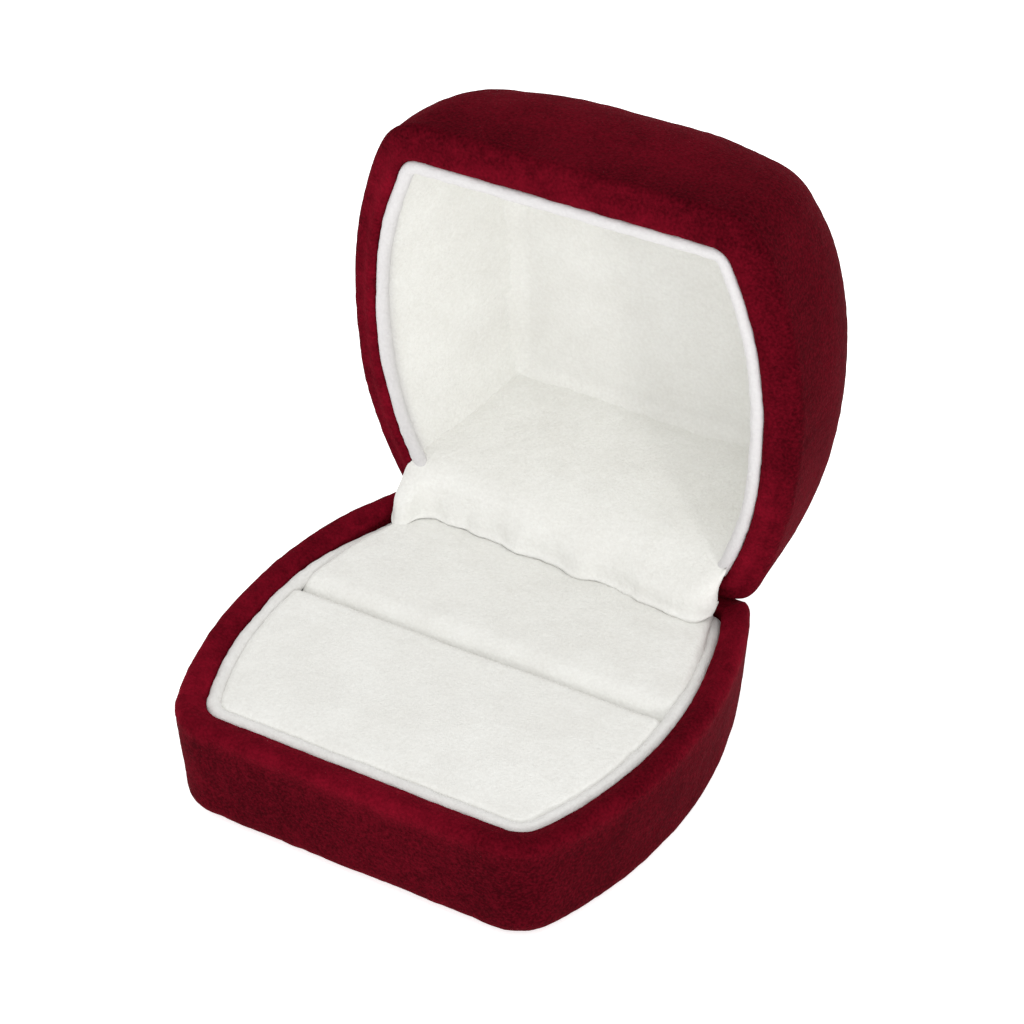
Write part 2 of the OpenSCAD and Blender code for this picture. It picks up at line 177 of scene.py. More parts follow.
def quarter(inset, radius, tightening=TIGHTENING, side_steps=54, corner_steps=20, end_steps=40):
    """A quarter of the outline, from the middle of the right side to the middle of the back."""
    r, cx, cy = corner(inset, radius, tightening)
    turn = math.atan2(cy, cx - SIDE_CENTRE)
    arc = SIDE_RADIUS - inset
    side = np.linspace(0, turn, side_steps, endpoint=False)
    bend = np.linspace(turn, math.pi / 2, corner_steps, endpoint=False)
    end = np.linspace(cx, 0, end_steps + 1)
    x = np.concatenate([SIDE_CENTRE + arc * np.cos(side), cx + r * np.cos(bend), end])
    y = np.concatenate([arc * np.sin(side), cy + r * np.sin(bend), np.full(len(end), HALF_LEN - inset)])
    return x, y


def outline(inset, tightening=TIGHTENING):
    """The plan outline moved in by inset, anticlockwise from the middle of the right side."""
    x, y = quarter(inset, BACK_CORNER_R, tightening)
    front_x, front_y = quarter(inset, FRONT_CORNER_R, tightening)
    x = np.concatenate([x, -x[-2::-1], -front_x[1:], front_x[-2:0:-1]])
    y = np.concatenate([y, y[-2::-1], -front_y[1:], -front_y[-2:0:-1]])
    return np.stack([x * back_widening(x, y), y], axis=1)


def back_widening(x, y):
    """The box is a little wider towards the hinge, more so on the left."""
    wider = np.where(x < 0, LEFT_WIDENING * ramp(y, -4, 18), RIGHT_WIDENING * ramp(y, 12, 24))
    return 1 + wider / HALF_END


def trough(p):
    """How far the base's rim is lowered, so that the lid's edge clears it."""
    r, cx, cy = corner(0, BACK_CORNER_R)
    back = cy + np.sqrt(np.maximum(r**2 - np.maximum(abs(p[:, 0]) - cx, 0) ** 2, 0))
    reach = np.hypot(np.maximum(back - PIN_Y, 0), PIN_Z - LID_RIM) + SWING_ROOM
    relief = (1 - ramp(abs(p[:, 0]), RELIEF_HALF, RELIEF_END)) * (p[:, 1] > RELIEF_Y)
    ahead = np.maximum(PIN_Y - p[:, 1], 0) * (1 - relief)
    return np.maximum(np.sqrt(np.maximum(reach**2 - ahead**2, 0)) - (PIN_Z - BASE_H), 0)


def notch(p):
    """How far the lid's rim is raised over the knuckles."""
    return NOTCH * (1 - ramp(abs(p[:, 0]), RELIEF_HALF, RELIEF_END)) * (p[:, 1] > RELIEF_Y)


def shoulder(p):
    """Height above the lid's rim at which the sides begin to curve over."""
    from_corner = np.hypot(abs(p[:, 0]) - (HALF_END - CORNER_BACK), abs(p[:, 1]) - (HALF_LEN - CORNER_BACK))
    near = np.exp(-((from_corner / CORNER_REACH) ** 2))
    return SHOULDER_SIDE + (SHOULDER_CORNER - SHOULDER_SIDE) * near


def base_ring(inset, z):
    """A ring of the base's skin, lowered near the rim where the lid's edge swings past."""
    p = outline(inset, BASE_TIGHTENING)
    drop = trough(p) * np.clip((z - (BASE_H - TROUGH_DEPTH)) / TROUGH_FADE, 0, 1)
    return np.column_stack([base_lip_shift(p, inset), z - drop])


def base_lip_shift(p, inset):
    """The base's lip is a little wider at the front."""
    share = ramp(inset, 1.0, TUCK_IN - LIP_ROUND)
    along = 0.42 * ramp(-p[:, 1], 8, 22)
    return p + np.column_stack([np.zeros(len(p)), along]) * share


def lid_ring(inset, z):
    """A ring of the lid's skin at z above its rim, which is crowned except over the knuckles."""
    p = outline(inset)
    up = notch(p)
    lift = up * (1 - np.clip((z - 1) / (SHOULDER_SIDE - 1), 0, 1))
    on_rim = ramp(inset, RIM_ROUND, LIP_IN - LID_LIP_ROUND) * (1 - ramp(z, 0.6, 2.0))
    crown = LID_CROWN * on_rim * (1 - up / NOTCH)
    return np.column_stack([lip_shift(p, inset, z), LID_RIM + z + lift - crown])


def lip_shift(p, inset, z):
    """The lid's lip is hand-wrapped: wider at the front and on the right than on the left."""
    at_lip = ramp(inset, 1.0, LIP_IN - LID_LIP_ROUND) * (1 - ramp(z, 1.0, CAVITY * 0.8))
    share = at_lip * (1 - ramp(p[:, 1], 1, 16))
    across = -0.15 - 0.5 * ramp(p[:, 0], -10, 20)
    along = 0.55 * ramp(-p[:, 1], 5, 22)
    return p + np.column_stack([across, along]) * share[:, None]


def dome_ring(inset, top, angle):
    """A ring of the dome, from the shoulder at angle 0 to the top at a quarter turn."""
    p = outline(inset + DOME_LEAN)
    s = max(math.cos(angle), 0) ** (2 / DOME_POWER)
    rise = math.sin(angle) ** (2 / DOME_TOP_POWER)
    z = shoulder(p)
    return np.column_stack([p * s, LID_RIM + z + (top - z) * rise])


def dome_angles(count):
    """Angles that space the dome's rings evenly along its surface, from the shoulder to near the top."""
    fine = np.linspace(0, math.pi / 2, 4000)
    across = HALF_MID * np.cos(fine).clip(0) ** (2 / DOME_POWER)
    up = (LID_H - SHOULDER_SIDE) * np.sin(fine) ** (2 / DOME_TOP_POWER)
    run = np.concatenate([[0], np.cumsum(np.hypot(np.diff(across), np.diff(up)))])
    return np.interp(np.linspace(0, run[-1], count + 1)[:-1], run, fine)


def opened(points):
    """Points of the shut lid, where they are when it is open."""
    p = np.array(points, float)
    y, z = p[:, 1] - PIN_Y, p[:, 2] - PIN_Z
    c, s = math.cos(OPEN_ANGLE), math.sin(OPEN_ANGLE)
    return np.column_stack([p[:, 0], PIN_Y + y * c + z * s, PIN_Z - y * s + z * c])


def arc(centre, radius, start, end, steps):
    """Points along an arc, with its start and end in degrees."""
    a = np.radians(np.linspace(start, end, steps + 1))
    return [(centre[0] + radius * math.cos(t), centre[1] + radius * math.sin(t)) for t in a]


def dense(path, step):
    """The same path with points at most step apart."""
    made = [path[0]]
    for a, b in zip(path, path[1:]):
        count = max(1, math.ceil(math.dist(a, b) / step))
        made += [tuple(np.add(a, np.subtract(b, a) * k / count)) for k in range(1, count + 1)]
    return made


def strip_faces(rows, columns, closed_rows=False, closed_columns=True):
    """Quads between neighbouring rings of a grid of points."""
    faces = []
    for i in range(rows if closed_rows else rows - 1):
        for j in range(columns if closed_columns else columns - 1):
            a, b = i * columns + j, i * columns + (j + 1) % columns
            c, d = (i + 1) % rows * columns + (j + 1) % columns, (i + 1) % rows * columns + j
            faces.append((a, b, c, d))
    return faces


def capped(rings, first_z, last_z):
    """Points and faces of rings that a middle point closes at each end."""
    columns = len(rings[0])
    points = np.concatenate(rings + [[[0, 0, first_z]], [[0, 0, last_z]]])
    faces = strip_faces(len(rings), columns)
    first, final, last = len(points) - 2, len(points) - 1, (len(rings) - 1) * columns
    faces += [(first, (j + 1) % columns, j) for j in range(columns)]
    faces += [(last + j, last + (j + 1) % columns, final) for j in range(columns)]
    return points, faces


def make_mesh(name, points, faces, flip=False):
    """A smooth-shaded object from points in millimetres."""
    faces = [f[::-1] for f in faces] if flip else faces
    mesh = bpy.data.meshes.new(name)
    mesh.from_pydata([tuple(p) for p in np.asarray(points) * MM], [], faces)
    mesh.validate()
    mesh.polygons.foreach_set("use_smooth", [True] * len(mesh.polygons))
    piece = bpy.data.objects.new(name, mesh)
    bpy.context.scene.collection.objects.link(piece)
    return piece


def normals_of(piece):
    """The direction of the surface at each vertex."""
    found = np.zeros(len(piece.data.vertices) * 3)
    piece.data.vertices.foreach_get("normal", found)
    return found.reshape(-1, 3)


def points_of(piece):
    """A piece's vertices, in millimetres."""
    found = np.zeros(len(piece.data.vertices) * 3)
    piece.data.vertices.foreach_get("co", found)
    return found.reshape(-1, 3) / MM


def set_points(piece, points):
    """Moves a piece's vertices to points in millimetres."""
    piece.data.vertices.foreach_set("co", (np.asarray(points) * MM).ravel())
    piece.data.update()


def roughen(piece, layers):
    """Moves the surface in and out by noise: layers are (size, amount, seed)."""
    points, out = points_of(piece), normals_of(piece)
    shift = sum(amount * noise(points, size, seed) for size, amount, seed in layers)
    set_points(piece, points + out * shift[:, None])


def paint(piece, name, values):
    """A value from 0 to 1 at each vertex, for a material to read."""
    attribute = piece.data.attributes.new(name, "FLOAT", "POINT")
    attribute.data.foreach_set("value", np.clip(values, 0, 1).astype(np.float32))


# ---------------------------------------------------------------- materials

def node_tree(name):
    """A new material, its nodes and its shader."""
    material = bpy.data.materials.new(name)
    material.use_nodes = True
    tree = material.node_tree
    return material, tree, tree.nodes["Principled BSDF"]


def colour(hex_text, alpha=1.0):
    """A hex colour as linear RGBA."""
    parts = [int(hex_text[i : i + 2], 16) / 255 for i in (0, 2, 4)]
    return (*[c / 12.92 if c <= 0.04045 else ((c + 0.055) / 1.055) ** 2.4 for c in parts], alpha)


def noise_node(tree, size, detail=2.0, stretch=(1, 1, 1)):
    """A noise texture with features about size millimetres across, in the object's own space."""
    where = tree.nodes.new("ShaderNodeTexCoord")
    mapping = tree.nodes.new("ShaderNodeMapping")
    mapping.inputs["Scale"].default_value = stretch
    tree.links.new(where.outputs["Object"], mapping.inputs["Vector"])
    texture = tree.nodes.new("ShaderNodeTexNoise")
    texture.inputs["Scale"].default_value = 1 / (size * MM)
    texture.inputs["Detail"].default_value = detail
    tree.links.new(mapping.outputs["Vector"], texture.inputs["Vector"])
    return texture.outputs["Fac"]


def ranged(tree, value, low, high, to_low=0.0, to_high=1.0):
    """A value stretched from one range to another, and kept inside it."""
    made = tree.nodes.new("ShaderNodeMapRange")
    made.inputs["From Min"].default_value = low
    made.inputs["From Max"].default_value = high
    made.inputs["To Min"].default_value = to_low
    made.inputs["To Max"].default_value = to_high
    tree.links.new(value, made.inputs["Value"])
    return made.outputs["Result"]


def math_node(tree, operation, a, b):
    """The result of an operation on two values, each a number or a node's output."""
    made = tree.nodes.new("ShaderNodeMath")
    made.operation = operation
    for socket, value in zip(made.inputs, (a, b)):
        if isinstance(value, (int, float)):
            socket.default_value = value
        else:
            tree.links.new(value, socket)
    return made.outputs[0]


def mixed(tree, factor, first, second):
    """A colour between two, each a plain colour or a node's output."""
    made = tree.nodes.new("ShaderNodeMix")
    made.data_type = "RGBA"
    tree.links.new(factor, made.inputs["Factor"])
    for socket, value in ((made.inputs["A"], first), (made.inputs["B"], second)):
        if isinstance(value, tuple):
            socket.default_value = value
        else:
            tree.links.new(value, socket)
    return made.outputs["Result"]


def bumped(tree, shader, layers):
    """Chains bumps onto a shader: layers are (height output, depth in mm)."""
    before = None
    for height, depth in layers:
        bump = tree.nodes.new("ShaderNodeBump")
        bump.inputs["Strength"].default_value = 1.0
        bump.inputs["Distance"].default_value = depth * MM
        tree.links.new(height, bump.inputs["Height"])
        if before:
            tree.links.new(before, bump.inputs["Normal"])
        before = bump.outputs["Normal"]
    tree.links.new(before, shader.inputs["Normal"])


def attribute_node(tree, name):
    """A value that was painted on the mesh."""
    made = tree.nodes.new("ShaderNodeAttribute")
    made.attribute_name = name
    return made.outputs["Fac"]


def red_velvet():
    """Burgundy pile, lighter where the painted_light_and_tone attribute is high: painted sheen over the
    edges, painted light and shade on some faces, and a random mottle.
    """
    material, tree, shader = node_tree("burgundy_velvet")
    speckle = noise_node(tree, 0.35, 3.0)
    patches = noise_node(tree, 7.0, 3.0, (1.0, 1.0, 0.6))
    painted_light_and_tone = attribute_node(tree, "painted_light_and_tone")
    lift = math_node(tree, "MULTIPLY", painted_light_and_tone, 0.75)
    lift = math_node(tree, "ADD", lift, ranged(tree, speckle, 0.3, 0.7, -0.11, 0.16))
    lift = math_node(tree, "ADD", lift, ranged(tree, patches, 0.35, 0.65, -0.02, 0.04))
    lift = ranged(tree, lift, 0.0, 1.0)
    tree.links.new(mixed(tree, lift, colour("340208"), colour("8A1025")), shader.inputs["Base Color"])
    shader.inputs["Roughness"].default_value = 0.95
    shader.inputs["Specular IOR Level"].default_value = 0.02
    shader.inputs["Sheen Weight"].default_value = 0.16
    shader.inputs["Sheen Roughness"].default_value = 0.4
    shader.inputs["Sheen Tint"].default_value = colour("A01028")
    bumped(tree, shader, [(noise_node(tree, 0.9, 2.0), 0.12), (noise_node(tree, 0.28, 2.0), 0.12)])
    return material


def white_velvet(name, shades, lip_painted_shade=None):
    """White pile between two shades; where the edge attribute is 1 it takes the darker lip_painted_shade
    greys, a painted shade on the lining's lips.
    """
    material, tree, shader = node_tree(name)
    speckle = noise_node(tree, 0.4, 3.0)
    clouds = noise_node(tree, 6.0, 2.0)
    fine, broad = ranged(tree, speckle, 0.3, 0.7, 0.0, 0.55), ranged(tree, clouds, 0.3, 0.7, 0.0, 0.45)
    tone = math_node(tree, "ADD", fine, broad)
    pile = mixed(tree, tone, *map(colour, shades))
    if lip_painted_shade:
        at_edge = attribute_node(tree, "edge")
        pile = mixed(tree, at_edge, pile, mixed(tree, speckle, *map(colour, lip_painted_shade)))
    tree.links.new(pile, shader.inputs["Base Color"])
    shader.inputs["Roughness"].default_value = 0.95
    shader.inputs["Specular IOR Level"].default_value = 0.1
    shader.inputs["Sheen Weight"].default_value = 0.12
    shader.inputs["Sheen Roughness"].default_value = 0.5
    bumped(tree, shader, [(noise_node(tree, 1.2, 2.0), 0.08), (noise_node(tree, 0.3, 2.0), 0.07)])
    return material


def moulded_plastic():
    """Black plastic with a fine moulded grain, for the shells."""
    material, tree, shader = node_tree("moulded_plastic")
    grain = noise_node(tree, 0.5, 2.0)
    tree.links.new(mixed(tree, grain, colour("17171A"), colour("232327")), shader.inputs["Base Color"])
    tree.links.new(ranged(tree, noise_node(tree, 4.0), 0.3, 0.7, 0.4, 0.55), shader.inputs["Roughness"])
    bumped(tree, shader, [(grain, 0.02)])
    return material


def card():
    """Grey board with fibres that run one way."""
    material, tree, shader = node_tree("grey_card")
    fibres = noise_node(tree, 0.6, 4.0, (1.0, 0.3, 1.0))
    tree.links.new(mixed(tree, fibres, colour("8F867A"), colour("B9B1A4")), shader.inputs["Base Color"])
    shader.inputs["Roughness"].default_value = 0.9
    bumped(tree, shader, [(fibres, 0.04)])
    return material


def embossed_paper():
    """Dark red paper with small embossed cells, for the underside."""
    material, tree, shader = node_tree("embossed_paper")
    cells = tree.nodes.new("ShaderNodeTexVoronoi")
    where = tree.nodes.new("ShaderNodeTexCoord")
    tree.links.new(where.outputs["Object"], cells.inputs["Vector"])
    cells.inputs["Scale"].default_value = 1 / (0.8 * MM)
    # Darker towards the middle of each embossed cell, where the bump is lowest
    cell_tone = mixed(tree, cells.outputs["Distance"], colour("3A0A14"), colour("4B0F1B"))
    tree.links.new(cell_tone, shader.inputs["Base Color"])
    shader.inputs["Roughness"].default_value = 0.6
    bumped(tree, shader, [(cells.outputs["Distance"], 0.06)])
    return material


def brushed_steel():
    """Plated steel with drawn streaks along the hinge."""
    material, tree, shader = node_tree("plated_steel")
    streaks = noise_node(tree, 0.5, 3.0, (0.08, 1.0, 1.0))
    tree.links.new(mixed(tree, streaks, colour("A6A6AA"), colour("D0D0D2")), shader.inputs["Base Color"])
    shader.inputs["Metallic"].default_value = 1.0
    tree.links.new(ranged(tree, streaks, 0.3, 0.7, 0.25, 0.42), shader.inputs["Roughness"])
    bumped(tree, shader, [(streaks, 0.01)])
    return material


def open_foam():
    """Yellowish foam with open cells."""
    material, tree, shader = node_tree("open_foam")
    cells = noise_node(tree, 0.7, 3.0)
    tree.links.new(mixed(tree, cells, colour("D8CDA8"), colour("F1E9CF")), shader.inputs["Base Color"])
    shader.inputs["Roughness"].default_value = 0.95
    bumped(tree, shader, [(cells, 0.2)])
    return material


RED = red_velvet()
WHITE = white_velvet("white_velvet", ("DDDCD7", "E9E9E5"))
# The lining's lips take the darker greys: painted shade on the lips that face the lights
LINING_WHITE = white_velvet("white_velvet_lining", ("DCDBD6", "E8E8E4"), ("C6C4C4", "D6D4D4"))
PLASTIC, CARD, PAPER, STEEL, FOAM = moulded_plastic(), card(), embossed_paper(), brushed_steel(), open_foam()


def give(piece, material, body=None):
    """Gives a piece its material, and a body to ride on."""
    piece.data.materials.clear()
    piece.data.materials.append(material)
    if body:
        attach(piece, body)


# ---------------------------------------------------------------- velvet skins

def base_path():
    """The base skin's outer surface, as (inset, z), from under the bottom to the tucked edge."""
    hem = TAPER + BOTTOM_ROUND + 0.5
    foot = arc((TAPER + BOTTOM_ROUND, UNDERSIDE + BOTTOM_ROUND), BOTTOM_ROUND, 270, 180, 10)
    rim = arc((RIM_ROUND, BASE_H - RIM_ROUND), RIM_ROUND, 180, 90, 7)
    crown = [(1.7, BASE_H - 0.02), (2.2, BASE_H - 0.2)]
    lip = arc((TUCK_IN - LIP_ROUND, BASE_H - RIM_SLOPE - LIP_ROUND), LIP_ROUND, 90, 0, 4)
    return dense([(hem, UNDERSIDE), *foot, *rim, *crown, *lip, (TUCK_IN, BASE_H - TUCK)], SKIN_STEP)


def lid_rim_path():
    """The lid skin's surface round its rim, as (inset, z above the rim), from the tuck to the dome."""
    lip = arc((LIP_IN - LID_LIP_ROUND, LID_LIP_ROUND), LID_LIP_ROUND, 0, -90, 5)
    rim = arc((RIM_ROUND, RIM_ROUND), RIM_ROUND, 270, 180, 7)
    return dense([(LIP_IN, LID_TUCK), *lip, (2.0, 0.04), *rim], SKIN_STEP)


def base_skin():
    """The velvet from under the base's bottom, up over the rim and down inside, with its back face."""
    against_wall = WALL_IN + 0.06
    hem = TAPER + BOTTOM_ROUND
    back_face = [
        (against_wall, BASE_H - TUCK), (against_wall, BASE_H - VELVET), (RIM_ROUND, BASE_H - VELVET),
        (VELVET, BASE_H - RIM_ROUND), (TAPER + VELVET, UNDERSIDE + BOTTOM_ROUND),
        (hem, UNDERSIDE + VELVET), (hem + 0.5, UNDERSIDE + VELVET),
    ]
    rings = [base_ring(i, z) for i, z in base_path() + back_face]
    faces = strip_faces(len(rings), len(rings[0]), closed_rows=True)
    piece = make_mesh("base_velvet_skin", np.concatenate(rings), faces)
    points = points_of(piece)
    from_rim = np.maximum(BASE_H - 0.6 - points[:, 2], 0)
    from_foot = abs(points[:, 2] - UNDERSIDE - 1.0)
    # Painted sheen round the rim and foot, and painted shade on the front right, over a random mottle
    paint(piece, "painted_light_and_tone", rim_painted_light_and_tone(points, from_rim, from_foot, flat_level=0.12, edge_sheen=0.36))
    give(piece, RED, "base")
    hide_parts("base_velvet")
    return piece


def rim_painted_light_and_tone(points, from_rim, from_foot, flat_level, edge_sheen):
    """How much lighter the pile is painted: flat_level on the walls, edge_sheen for the painted sheen where
    it bends over the rim and foot, and a random mottle.
    """
    # Painted sheen: a lighter band where the pile bends over the rim, and a weaker one over the foot
    edge = np.exp(-((from_rim / 1.3) ** 2)) + 0.35 * np.exp(-((from_foot / 1.2) ** 2))
    mottled = 0.1 * noise(points, 3.5, 21) + 0.12 * noise(points, 1.1, 22)
    # Painted shade: the pile on the front right is made darker, where the key light falls on it
    away = ramp(points[:, 0], 8, 24) * (1 - ramp(points[:, 1], 0, 18))
    return (flat_level + edge_sheen * edge + mottled * (0.5 + edge)) * (1 - 0.5 * away)


def lid_skin():
    """The velvet over the dome, round its rim and down inside, and its back face."""
    angles = dome_angles(74)
    rim = [lid_ring(i, z) for i, z in lid_rim_path()]
    dome = [dome_ring(0, LID_H, a) for a in angles]
    back_face = [(VELVET, RIM_ROUND), (RIM_ROUND, VELVET), (WALL_IN, VELVET), (WALL_IN + 0.35, LID_TUCK)]
    inner_rim = [lid_ring(i, z) for i, z in back_face]
    inner_dome = [dome_ring(VELVET, LID_H - VELVET, a) for a in angles[::6]]
    rings = inner_dome[::-1] + inner_rim + rim + dome
    points, faces = capped(rings, LID_RIM + LID_H - VELVET, LID_RIM + LID_H)
    piece = make_mesh("lid_velvet_skin", opened(points), faces)
    height = points[:, 2] - LID_RIM
    front = ramp(-points[:, 1], 14, 24)
    from_rim = 1.5 * abs(height + 0.6)
    far_from_foot = np.full(len(points), 9.0)
    # Painted light: the shut lid's front face, which faces up when open, is painted lighter, and its rim's
    # painted sheen is weaker there
    flat_level = 0.16 + 0.1 * front * ramp(height, 1.5, 7)
    paint(piece, "painted_light_and_tone", rim_painted_light_and_tone(points, from_rim, far_from_foot, flat_level, edge_sheen=0.36 - 0.14 * front))
    give(piece, RED, "lid")
    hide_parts("lid_velvet")
    return piece


for skin in (base_skin(), lid_skin()):
    roughen(skin, [(6.0, 0.06, 31), (1.6, 0.04, 32), (0.8, 0.04, 33)])


# ---------------------------------------------------------------- lining

def soft_limit(value, limit):
    """The value, eased so that it never passes the limit."""
    return value / (1 + (abs(value) / limit) ** DEEP_POWER) ** (1 / DEEP_POWER)


def deep_plan(inset):
    """The lining's plan at the bottom of the lid's cavity."""
    side = PANEL_HALF + LINING_IN - inset
    p = outline(inset)
    return np.column_stack([soft_limit(p[:, 0] * DEEP_WIDTH, side), soft_limit(p[:, 1] * DEEP_LENGTH, side)])


def bead_sink(y):
    """The base lining's bead is lower towards the hinge."""
    return BACK_SINK * ramp(y, 3, 21)


def behind(ring, half):
    """Which points of a ring lie in the gap that a lining leaves at the hinge."""
    return (abs(ring[:, 0]) < half) & (ring[:, 1] > GAP_Y)


def base_lining():
    """An upright wall with a rolled bead on top."""
    top = BASE_H - BEAD_DROP - BEAD_R
    foot = box_mm("base_liner")[0][2]
    bead = arc((BEAD_MID, top), BEAD_R, -50, 185, 16)
    path = dense([(LINING_IN, foot), (LINING_IN, top - BEAD_R - 0.1), *bead, (LINING_OUT, foot)], 0.5)
    rings = []
    for inset, z in path:
        p = base_lip_shift(outline(inset, BASE_TIGHTENING), inset)
        rings.append(np.column_stack([p, z - bead_sink(p[:, 1]) * np.clip((z - foot) / (top - foot), 0, 1)]))
    piece = open_ring("base_lining", rings, ~behind(rings[0], GAP_HALF))
    high = points_of(piece)
    # Painted shade on the bead's top, at 0.4 of its full strength
    paint(piece, "edge", 0.4 * ramp(high[:, 2] + bead_sink(high[:, 1]), top - 1.4, top - 0.6))
    return piece


def open_ring(name, rings, keep):
    """A lining that runs round the outline but for its back, with closed ends."""
    gap = int(np.argmax(~keep))
    first = gap + int(np.argmax(keep[gap:]))
    order = [(first + k) % len(keep) for k in range(int(keep.sum()))]
    grid = np.array([ring[order] for ring in rings])
    rows, columns = grid.shape[:2]
    faces = strip_faces(rows, columns, closed_rows=True, closed_columns=False)
    faces.append(tuple(i * columns for i in range(rows)))
    faces.append(tuple(i * columns + columns - 1 for i in range(rows))[::-1])
    return make_mesh(name, grid.reshape(-1, 3), faces, flip=True)


def lid_lining():
    """Walls that lean in to a square, with a rolled bead at the rim."""
    mid = LID_BEAD_R - LID_BEAD_PROUD
    depths = np.linspace(mid + LID_BEAD_R + 0.3, CAVITY, 44)
    plans = [(outline(i), z) for i, z in arc((LID_BEAD_MID, mid), LID_BEAD_R, 175, 410, 16)]
    plans += [(wall_ring(LINING_IN, z), z) for z in depths]
    plans += [(wall_ring(LINING_OUT, z), z) for z in depths[::-4]]
    rings = [np.column_stack([lip_shift(p, LIP_IN, z), np.full(len(p), LID_RIM + z)]) for p, z in plans]
    half = LID_GAP_HALF - LID_GAP_TAPER * (rings[0][0, 2] - LID_RIM) / CAVITY
    piece = open_ring("lid_lining", rings, ~behind(rings[0], half))
    # Painted shade on the lip, fading out below the rim
    paint(piece, "edge", 1 - ramp(points_of(piece)[:, 2] - LID_RIM, 0.7, 2.4))
    set_points(piece, opened(points_of(piece)))
    return piece


def wall_ring(inset, depth):
    """A ring of the lid's lining at a depth below its rim."""
    share = depth / CAVITY
    return outline(inset) * (1 - share) + deep_plan(inset) * share


def top_panel():
    """The deep panel: flat, a little padded, with edges that curve forward to meet the lining's walls."""
    def ring(inset, depth, scale=1.0, z=None):
        flat = wall_ring(LINING_IN + inset, depth) * scale
        return np.column_stack([flat, np.full(len(flat), LID_RIM + (depth if z is None else z))])

    flat_depth = CAVITY - 0.15
    centre_ring = [(s, flat_depth - 0.2 * (1 - s**4)) for s in np.linspace(0.04, 0.98, 30)]
    rings = [ring(PANEL_FILLET, flat_depth, s, z) for s, z in centre_ring]
    for a in np.radians(np.linspace(0, 84, 12)):
        inset, rise = PANEL_FILLET * (1 - math.sin(a)) - 0.05, PANEL_FILLET * (1 - math.cos(a))
        rings.append(ring(inset, flat_depth - rise))
    rings += [ring(-0.3, flat_depth - PANEL_FILLET * 0.9), ring(-0.3, flat_depth)]
    rings.append(ring(0.2, CAVITY, z=CAVITY + PANEL_T))
    points, faces = capped(rings, rings[0][0, 2], LID_RIM + CAVITY + PANEL_T)
    return make_mesh("lid_deep_panel", opened(points), faces, flip=True)


for piece, node, body, material in (
    (base_lining(), "base_liner", "base", LINING_WHITE),
    (lid_lining(), "lid_liner", "lid", LINING_WHITE),
    (top_panel(), "lid_top_pad", "lid", WHITE),
):
    roughen(piece, [(5.0, 0.08, 41), (1.4, 0.05, 42), (0.8, 0.06, 43)])
    give(piece, material, body)
    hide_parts(node)


# ---------------------------------------------------------------- cushions

def half_width(inset, y):
    """Half the width of the plan at each y."""
    def width(radius):
        x, along = quarter(inset, radius, BASE_TIGHTENING)
        return np.interp(abs(y), along, x)

    return np.where(y < 0, width(FRONT_CORNER_R), width(BACK_CORNER_R))


def dropped(distance, radius):
    """How far a rolled edge falls at a distance from the side."""
    short = np.clip(radius - distance, 0, radius)
    return radius - np.sqrt(np.maximum(radius**2 - short**2, 0))


def back_corners(part):
    """The back corners reach further than the middle, which makes room for the hinge."""
    return 1.0 * ramp(abs(part[:, 0]), 14.9, 16.4) * ramp(part[:, 1], 19, 22)


def border_of(grid):
    """The outer points of a grid, in order round it."""
    return np.concatenate([grid[0, :-1], grid[:-1, -1], grid[-1, :0:-1], grid[:0:-1, 0]])


def cushion(name, y_front, y_back, shrink, front_roll, back_roll, crown):
    """A pad with a crowned top and rolled edges, smaller all round by shrink."""
    inset = PAD_INSET + shrink
    reach = HALF_LEN - inset - 0.03
    low, high = max(y_front + shrink, -reach), y_back - shrink
    across, along = 120, 76
    u = np.sin(np.linspace(-math.pi / 2, math.pi / 2, across + 1))
    v = (np.sin(np.linspace(-math.pi / 2, math.pi / 2, along + 1)) + 1) / 2
    y = np.repeat(low + (high - low) * v, across + 1)
    width = half_width(inset, y.clip(-reach, reach))
    x = np.tile(u, along + 1) * width
    z = PAD_TOP - shrink - dropped(width - abs(x), PAD_SIDE_ROLL)
    z = z - dropped(y - low, front_roll) - dropped(high - y, back_roll)
    z += crown * (1 - (x / width) ** 4) * (1 - ((2 * y - low - high) / (high - low)) ** 4)
    plan = base_lip_shift(np.column_stack([x * back_widening(x, y), y]), inset)
    grid = np.column_stack([plan, z]).reshape(along + 1, across + 1, 3)
    return closed_pad(name, grid, np.array([0, (low + high) / 2, 0]), PAD_BOTTOM + shrink)


def closed_pad(name, grid, centre, foot):
    """Closes a pad's top surface with sides that bulge and then pull in towards its foot."""
    border = border_of(grid)
    away = border - centre
    away[:, 2] = 0
    away /= np.linalg.norm(away, axis=1)[:, None]
    rings, steps = [], 14
    for share in np.arange(1, steps + 1) / steps:
        ring = border.copy()
        ring[:, 2] = border[:, 2] + (foot - border[:, 2]) * share
        rings.append(ring + away * (PAD_BULGE * math.sin(math.pi * share) - PAD_FOOT_PULL * share**6))
    for part in (grid.reshape(-1, 3), *rings):
        part[:, 1] += back_corners(part)
    points = np.concatenate([grid.reshape(-1, 3), *rings, [[centre[0], centre[1], foot]]])
    faces = strip_faces(*grid.shape[:2], closed_columns=False)
    size = grid.shape[0] * grid.shape[1]
    edge = border_of(np.arange(size).reshape(grid.shape[:2]))
    count = len(edge)
    levels = [edge] + [size + k * count + np.arange(count) for k in range(steps)]
    for a, b in zip(levels, levels[1:]):
        faces += [(a[i], b[i], b[(i + 1) % count], a[(i + 1) % count]) for i in range(count)]
    faces += [(levels[-1][i], len(points) - 1, levels[-1][(i + 1) % count]) for i in range(count)]
    return make_mesh(name, points, [tuple(int(v) for v in f) for f in faces])


